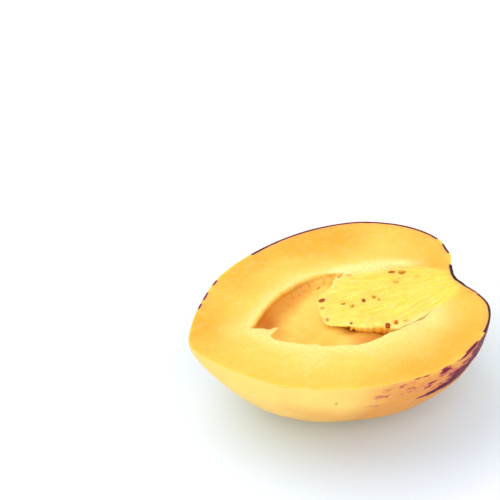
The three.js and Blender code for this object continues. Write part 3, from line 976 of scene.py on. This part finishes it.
# Seeds in sight: x and y in the cut plane, height of the middle, length, width, turn in
# degrees, and tone from pale (0) to nearly black (1).
seedPlaces = [
    (-0.8, 4.3, -0.1, 2.5, 1.7, 12, 0.6), (-2.1, 0.7, -0.12, 2.3, 1.1, 10, 0.24),
    (-3.0, -5.0, -0.2, 2.3, 1.2, 75, 0.45), (4.9, 0.1, 0.0, 1.8, 0.8, -5, 0.42),
    (7.2, -1.9, 0.0, 1.8, 1.0, 30, 0.2), (11.9, -1.0, 0.05, 2.0, 1.1, 62, 0.85),
    (15.9, -0.6, 0.0, 1.8, 1.0, 100, 0.4), (16.9, -2.3, 0.0, 1.5, 0.8, 35, 0.34),
    (3.4, -9.6, -0.1, 1.5, 1.0, 10, 0.85), (3.1, -10.9, -1.2, 1.4, 0.9, 15, 0.25),
    (14.3, -14.7, -0.3, 2.5, 1.7, 75, 0.82), (17.4, -14.5, -0.1, 2.3, 1.5, 60, 0.45),
    (20.6, -15.0, -0.1, 2.6, 0.9, 12, 0.15), (10.7, -10.2, -0.1, 1.3, 0.9, 40, 0.0),
    (26.8, 8.8, 0.05, 2.5, 0.9, -20, 0.6), (30.0, 7.5, 0.05, 2.6, 1.3, -12, 0.5),
    (25.9, 3.7, 0.0, 2.3, 0.9, -20, 0.2), (27.6, 4.9, -0.1, 1.7, 0.8, 10, 0.1),
    (34.1, 3.6, -0.1, 2.4, 0.8, -20, 0.12), (-1.9, -7.4, -0.5, 1.4, 1.0, 30, 0.1),
    (1.2, 12.0, -1.2, 2.0, 0.7, 38, 0.1), (4.0, 14.2, -0.8, 2.2, 0.7, 35, 0.05),
    (7.2, 15.3, -0.25, 3.0, 0.7, 10, 0.0), (9.9, 14.0, 0.0, 2.6, 0.8, 25, 0.08),
    (12.4, 12.8, 0.05, 2.8, 0.6, -8, 0.0),
]
# More of them hang from the core's underside, in rows given as how low, from where to where
# round the edge, and how many. Seeds in the top are sunk into it a little.
hangingSeeds = {
    "rows": [(0.2, 0.0, 0.28, 5), (0.35, 0.74, 1.2, 9), (0.65, 0.74, 1.2, 6)],
    "seed": 5,
    "sunk": 0.06,
}


# Places on the core's underside, for low from 0 at the edge to 1 at the bottom. It is a bowl
# again, flat and thin at the end towards the tip and rounder towards the stem.
def coreUnderside(edge, low):
    bottom = np.array(core["bottom"])
    inward, down = bowl(low, 1.25 + 1.1 * ease(edge[..., :1], 0, 9))
    flat = bottom + (edge - bottom) * inward
    return np.concatenate([flat, -core["depth"] * down + 0 * flat[..., :1]], -1)


# The edge of the core: the smooth line pushed in and out by rounded lobes of uneven length.
def coreEdge(share):
    line = smoothLine(core["edge"], share, closed=True)
    random = np.random.default_rng(12)
    widths = random.uniform(0.5, 1.5, core["lobes"])
    ends = np.concatenate([[0], np.cumsum(widths)]) / widths.sum()
    heights = random.uniform(0.45, 1.25, core["lobes"])
    place = np.mod(share, 1.0)
    number = np.clip(np.searchsorted(ends, place, side="right") - 1, 0, core["lobes"] - 1)
    within = (place - ends[number]) / (ends[number + 1] - ends[number])
    lobe = np.sin(math.pi * within) ** 0.6 - 0.6
    size = 0.5 + heights[number] * np.sin(math.pi * within) ** 0.5 * 0.5
    away = line - np.array(core["bottom"])
    away /= np.linalg.norm(away, axis=-1, keepdims=True)
    free = freeEdge(line)
    return line + away * (core["lobeHeight"] * lobe * size * free)[..., None], lobe * free


# 1 along the core's free edge, and 0 where it has grown together with the flesh.
def freeEdge(places):
    x, y = places[..., 0], places[..., 1]
    return np.where(y < -1, 1 - ease(x, 26, 34), 1 - ease(x, 8.0, 11.0))


# Lengthwise ridges on the core's cut top, a pit with a raised border round each seed, and a
# sink below the flesh beyond the line where the two have grown together.
def coreTopHeight(places):
    x, y = places[..., 0], places[..., 1]
    away, across = fibrePlace(places)
    stretched = np.stack([away * 0.12, across], -1)
    height = 0.03 * unevenness(stretched, 1.5, 31) + 0.02 * unevenness(stretched, 0.7, 32)
    height += 0.09 * unevenness(places[..., :2], 5.0, 33) + 0.14
    for seedX, seedY, _, length, *_ in seedPlaces:
        gap = np.hypot(x - seedX, y - seedY)
        height -= 0.2 * bell(gap, 0.5 * length, 4)
        height += 0.1 * bell(gap - 0.7 * length, 0.4)
    # x on the merge line for each y; its second point is left out, as it is nearly level there
    mergeX, mergeY = zip(*[mergePoints[0], *mergePoints[2:]][::-1])
    beyond = np.where(x > np.interp(y, mergeY, mergeX), 1, -1)
    return height - 0.5 * ease(beyond * distanceTo(mergeLine, places), -3.0, 3.0)


# Rings from the middle of the cut top out to its edge, over the rounded edge, and in under
# the core to its bottom.
def seedCore():
    share = np.linspace(0, 1, core["aroundSteps"], endpoint=False)
    edge, lobe = coreEdge(share)
    bottom = np.array(core["bottom"])
    rounding = core["rounding"] * (0.35 + 0.65 * freeEdge(edge) * ease(edge[:, 0], 0, 10))[:, None]
    toMiddle = bottom - edge
    toMiddle /= np.linalg.norm(toMiddle, axis=1, keepdims=True)
    inner = edge + toMiddle * rounding
    steps = 1 - gradedSteps(core["topSteps"], 0.5)[:, None, None]
    topRings = inner + (bottom - inner) * steps
    topHeight = coreTopHeight(topRings)
    groove = 0.5 - 0.5 * lobe  # deep between two lobes
    outShare = 1 - steps[..., 0]
    topHeight = topHeight - 0.22 * groove * outShare**14 * freeEdge(edge)
    topRings = np.concatenate([topRings, topHeight[..., None]], -1)

    bend = math.pi / 2 * ringShares(core["roundingSteps"])
    roundRings = inner - toMiddle * rounding * np.sin(bend)
    roundHeight = topRings[-1, :, 2:] - rounding * (1 - np.cos(bend))
    roundRings = np.concatenate([roundRings, roundHeight], -1)

    low = ringShares(core["wallSteps"])
    wallRings = coreUnderside(edge, low)
    wallRings[..., 2:] += roundRings[-1, :, 2:] * (1 - low)
    lobe = lobe[:, None]
    bulge = (0.1 + 0.25 * ease(edge[:, :1], 4, 12)) * (0.6 + 0.4 * lobe)
    bulge = bulge * np.sin(math.pi * np.minimum(1, low * 3))
    pleats = 0.12 * (lobe - 0.2) * (1 - low) ** 2 * np.sin(math.pi * low)
    wallRings[..., :2] -= toMiddle * bulge
    wallRings[..., :2] -= toMiddle * pleats
    lumps = 0.16 * unevenness(wallRings, 2.6, 34) + 0.12 * unevenness(wallRings, 1.1, 35)
    wallRings[..., 2] += lumps * ease(low[..., 0], 0.0, 0.2)
    wallRings[-1] = wallRings[-1].mean(0)

    rings = np.concatenate([topRings, roundRings, wallRings])
    rings[0] = rings[0].mean(0)
    index = numbered(rings.shape[:2], closed=True)[:, ::-1]
    points = rings.reshape(-1, 3)
    fields = fleshFields(points, core=True)
    topCount = len(topRings)
    # how far below the cut plane, for the deeper yellow that is partly painted shade
    below = np.maximum(0, -rings[..., 2])
    below[:topCount] = 0
    rim = np.zeros(rings.shape[:2])
    rim[:topCount] = outShare**10 * freeEdge(edge)
    rim[topCount:topCount + core["roundingSteps"]] = freeEdge(edge)
    tipEnd = np.ones(rings.shape[:2])
    tipEnd[:topCount] = outShare**6
    tipEnd *= (1 - ease(rings[..., 0], -1, 8)) * ease(rings[..., 1], -9, -5)
    for name, values in (("below", below), ("lobeEdge", rim), ("tipEnd", tipEnd)):
        fields[name] = values.ravel()
    halo = np.zeros(len(points))
    for seedX, seedY, _, length, _, _, tone in seedPlaces:
        gap = np.hypot(points[:, 0] - seedX, points[:, 1] - seedY)
        halo = np.maximum(halo, (0.3 + tone) * bell(gap, 0.75 * length))
    fields["seedHalo"] = np.clip(halo, 0, 1)
    return makePiece("seed_core", points, gridFaces(index), [coreFinish], fields)


coreBody = seedCore()
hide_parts("fruit_half")
print("seed core:", len(coreBody.data.polygons), "faces")


# One seed: a flattened egg on a grid, pinched to a blunt point at one end, with a shallow dent
# in each face. Returns its points round the origin and how near each is to its rim.
def seedShape(length, width, thickness, random):
    polar, around = np.linspace(0, math.pi, 13), np.linspace(0, 2 * math.pi, 20, endpoint=False)
    polar, around = np.meshgrid(polar, around, indexing="ij")
    pinch = 1 - 0.28 * np.cos(polar)
    x = 0.5 * length * np.cos(polar)
    y = 0.5 * width * np.sin(polar) ** 0.85 * np.cos(around) * pinch
    dent = 1 - 0.35 * np.exp(-((x / length) ** 2 + (y / width) ** 2) * 18)
    z = 0.5 * thickness * np.sin(polar) * np.sin(around) * dent
    wobble = 1 + 0.05 * random.normal()
    bent = 0.06 * width * unevenness(np.stack([x, y], -1) + random.uniform(0, 90, 2), 1.8, 61)
    y = y + bent * np.sin(polar)
    edge = np.abs(np.cos(around)) ** 6 * np.sin(polar) + np.abs(np.cos(polar)) ** 8
    return np.stack([x * wobble, y, z], -1), np.clip(edge, 0, 1)


# Two coordinates turned by an angle in degrees.
def turned(first, second, degrees):
    c, s = math.cos(math.radians(degrees)), math.sin(math.radians(degrees))
    return first * c - second * s, first * s + second * c


# Every seed rolled about its length by its tilt, turned in the cut plane and put in its place.
def allSeeds():
    random = np.random.default_rng(hangingSeeds["seed"])
    wanted = [(*place, 0.0) for place in seedPlaces]
    for low, start, end, count in hangingSeeds["rows"]:
        shares = start + (end - start) * (np.arange(count) + random.uniform(0, 0.6, count)) / count
        edge, _ = coreEdge(shares)
        for x, y, z in coreUnderside(edge, np.float64(low)):
            ranges = ((1.7, 2.2), (1.2, 1.6), (0, 180), (0.3, 0.85), (-40, 40))
            wanted.append((x, y, z - 0.1, *(random.uniform(*each) for each in ranges)))
    points, faces, tones, rims = [], [], [], []
    for x, y, z, length, width, turn, tone, tilt in wanted:
        shape, edge = seedShape(length, width, 0.55 * width + 0.25, random)
        across, up = turned(shape[..., 1], shape[..., 2], tilt + random.uniform(-12, 12))
        along, across = turned(shape[..., 0], across, turn)
        start = sum(len(each) for each in points)
        sunk = hangingSeeds["sunk"] * (z > -0.4)
        points.append(np.stack([along + x, across + y, up + z - sunk], -1).reshape(-1, 3))
        faces += gridFaces(numbered(along.shape, start, closed=True))
        tones.append(np.full(along.size, tone))
        rims.append(edge.ravel())
    fields = {"tone": np.concatenate(tones), "seedRim": np.concatenate(rims)}
    return makePiece("seeds", np.concatenate(points), faces, [seedFinish], fields)


seeds = allSeeds()
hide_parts("fruit_half")
print("seeds:", len(seeds.data.polygons), "faces")


calyx = {
    "lobes": 5,
    "reach": 7.0,
    "waist": 4.2,  # how far out the edge is between two lobes
    "turned": 0.35,
    "thickness": 0.62,
    "scarRadius": 2.5,
    "outSteps": 44,
    "turnSteps": 150,
}


# A crumpled star that lies on the dimple's skin: each place is a distance out from the axis
# and a turn about it, lifted off the skin by a thickness that runs out at the lobes' edges.
def calyxStar():
    turn = np.linspace(0, math.pi, calyx["turnSteps"] + 1)
    swing = (0.5 + 0.5 * np.cos(calyx["lobes"] * (turn - calyx["turned"]))) ** 1.5
    reach = calyx["waist"] + (calyx["reach"] - calyx["waist"]) * swing
    reach += 0.35 * unevenness(np.stack([8 * turn, 0 * turn], -1), 2.0, 51)
    outShare, turns = np.meshgrid(np.linspace(0, 1, calyx["outSteps"] + 1), turn, indexing="ij")
    out = outShare * reach
    shares = np.linspace(0, 0.25, 400)
    share = np.interp(out, smoothLine(fruit["outline"], shares)[:, 1], shares)
    under = skinSurface(share, turns)
    offCut = 0.15 + 0.85 * ease(np.sin(turns), 0.02, 0.3)
    crumple = unevenness(np.stack([out * 0.5, 5 * turns], -1), 1.3, 52) * offCut
    ridge = np.abs(np.cos(calyx["lobes"] * (turns - calyx["turned"]) / 2)) ** 12
    edgeShare = np.sqrt(np.maximum(0, 1 - outShare**5))
    scar = 1 - ease(out, calyx["scarRadius"] - 0.5, calyx["scarRadius"] + 0.3)
    lip = bell(out - calyx["scarRadius"], 0.45)
    lift = calyx["thickness"] * edgeShare * (0.62 + 0.16 * crumple + 0.25 * ridge * outShare)
    lift += 0.18 * lip * offCut - 0.1 * scar + 0.05 * scar * unevenness(under, 0.7, 53)
    curl = 0.35 * outShare**6 * (0.5 + 0.5 * crumple) * offCut
    top = under.copy()
    top[..., 0] += np.maximum(lift, 0.05) + curl
    bottom = under.copy()
    bottom[..., 0] += curl * 0.8 - 0.15
    bottom[0] = bottom[0, 0]
    top[0] = top[0].mean(0)
    topIndex = numbered(out.shape, poles=[0])
    bottomIndex = topIndex + out.size
    edgeIndex = np.vstack([topIndex[-1], bottomIndex[-1]])
    firstCut = np.stack([bottomIndex[:, 0], topIndex[:, 0]])
    lastCut = np.stack([topIndex[:, -1], bottomIndex[:, -1]])
    faces = gridFaces(topIndex) + gridFaces(edgeIndex) + gridFaces(bottomIndex[::-1])
    cutFaces = gridFaces(firstCut[::-1]) + gridFaces(lastCut[::-1])
    points = np.concatenate([top.reshape(-1, 3), bottom.reshape(-1, 3)])
    fields = {
        "veins": np.tile(np.stack([out, 7 * turns, 0 * turns], -1).reshape(-1, 3), (2, 1)),
        "scar": np.tile(scar.ravel(), 2),
        "cutFace": np.tile(bell(np.sin(turns) * out, 0.25).ravel(), 2),
    }
    return makePiece("calyx_star", points, faces + cutFaces, [calyxFinish], fields)


star = calyxStar()
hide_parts("calyx_half")
print("calyx:", len(star.data.polygons), "faces")


stage = {
    "floorHalf": 3.0,
    "floorColour": (0.91, 0.92, 0.94, 1),
    "underColour": (0.77, 0.88, 1.0, 1),  # cooler under the fruit, against its yellow reflection
    "underReach": (0.045, 0.085),
    "panelSize": 0.9,
    "panels": {"skyPanel": ((-0.35, 0.3, 0.9), 3.0), "frontPanel": ((-0.4, -0.7, 0.65), 2.4)},
    "worldStrength": 0.89,
    "azimuth": -22.0,
    "elevation": 40.0,
    "lens": 135.0,
    "spot": (-197.2, -418.0, 412.1),  # the camera's place, in the fruit's own millimetres
}


# Pale grey, blended to the cooler tint near the frame's origin: painted colour that cancels the
# fruit's yellow light reflected onto the floor.
def floorMaterial():
    shades = Shades("paleFloor")
    apart = shades.add("ShaderNodeVectorMath", {"operation": "LENGTH"})
    shades.feed(apart.inputs[0], shades.place())
    under = shades.ramp(apart.outputs["Value"], *stage["underReach"], 1.0, 0.0)
    # painted against reflected light: cooler near the fruit
    tone = shades.mix(under, stage["floorColour"], stage["underColour"])
    return shades.finish(Base_Color=tone, Roughness=0.7, Specular_IOR_Level=0.1)


def floor():
    mesh = bpy.data.meshes.new("floor")
    corners = [(-1, -1, 0), (1, -1, 0), (1, 1, 0), (-1, 1, 0)]
    mesh.from_pydata((stage["floorHalf"] * np.array(corners)).tolist(), [], [(0, 1, 2, 3)])
    mesh.materials.append(floorMaterial())
    intoScene("floor", mesh)


# A round lamp that faces the frame's origin.
def softLight(name, place, power):
    data = bpy.data.lights.new(name, "AREA")
    data.shape = "DISK"
    data.size = stage["panelSize"]
    data.energy = power
    lamp = intoScene(name, data)
    lamp.location = place
    lamp.rotation_euler = (-Vector(place)).to_track_quat("-Z", "Y").to_euler()


floor()
for name, (place, power) in stage["panels"].items():
    softLight(name, place, power)
world = bpy.data.worlds.new("studio")
world.use_nodes = True
world.node_tree.nodes["Background"].inputs["Color"].default_value = (1, 1, 1, 1)
world.node_tree.nodes["Background"].inputs["Strength"].default_value = stage["worldStrength"]
bpy.context.scene.world = world
bpy.context.scene.view_settings.view_transform = "Standard"

data = bpy.data.cameras.new("camera")
data.lens = stage["lens"]
data.sensor_width = 36.0
camera = intoScene("camera", data)
camera.location = ((np.array(stage["spot"]) + fruitPlace) / 1000).tolist()
turn, rise = math.radians(stage["azimuth"]), math.radians(stage["elevation"])
level = math.cos(rise)
forward = Vector((-math.sin(turn) * level, math.cos(turn) * level, -math.sin(rise)))
camera.rotation_euler = forward.to_track_quat("-Z", "Y").to_euler()
bpy.context.scene.camera = camera
print("stage, lights and camera set")
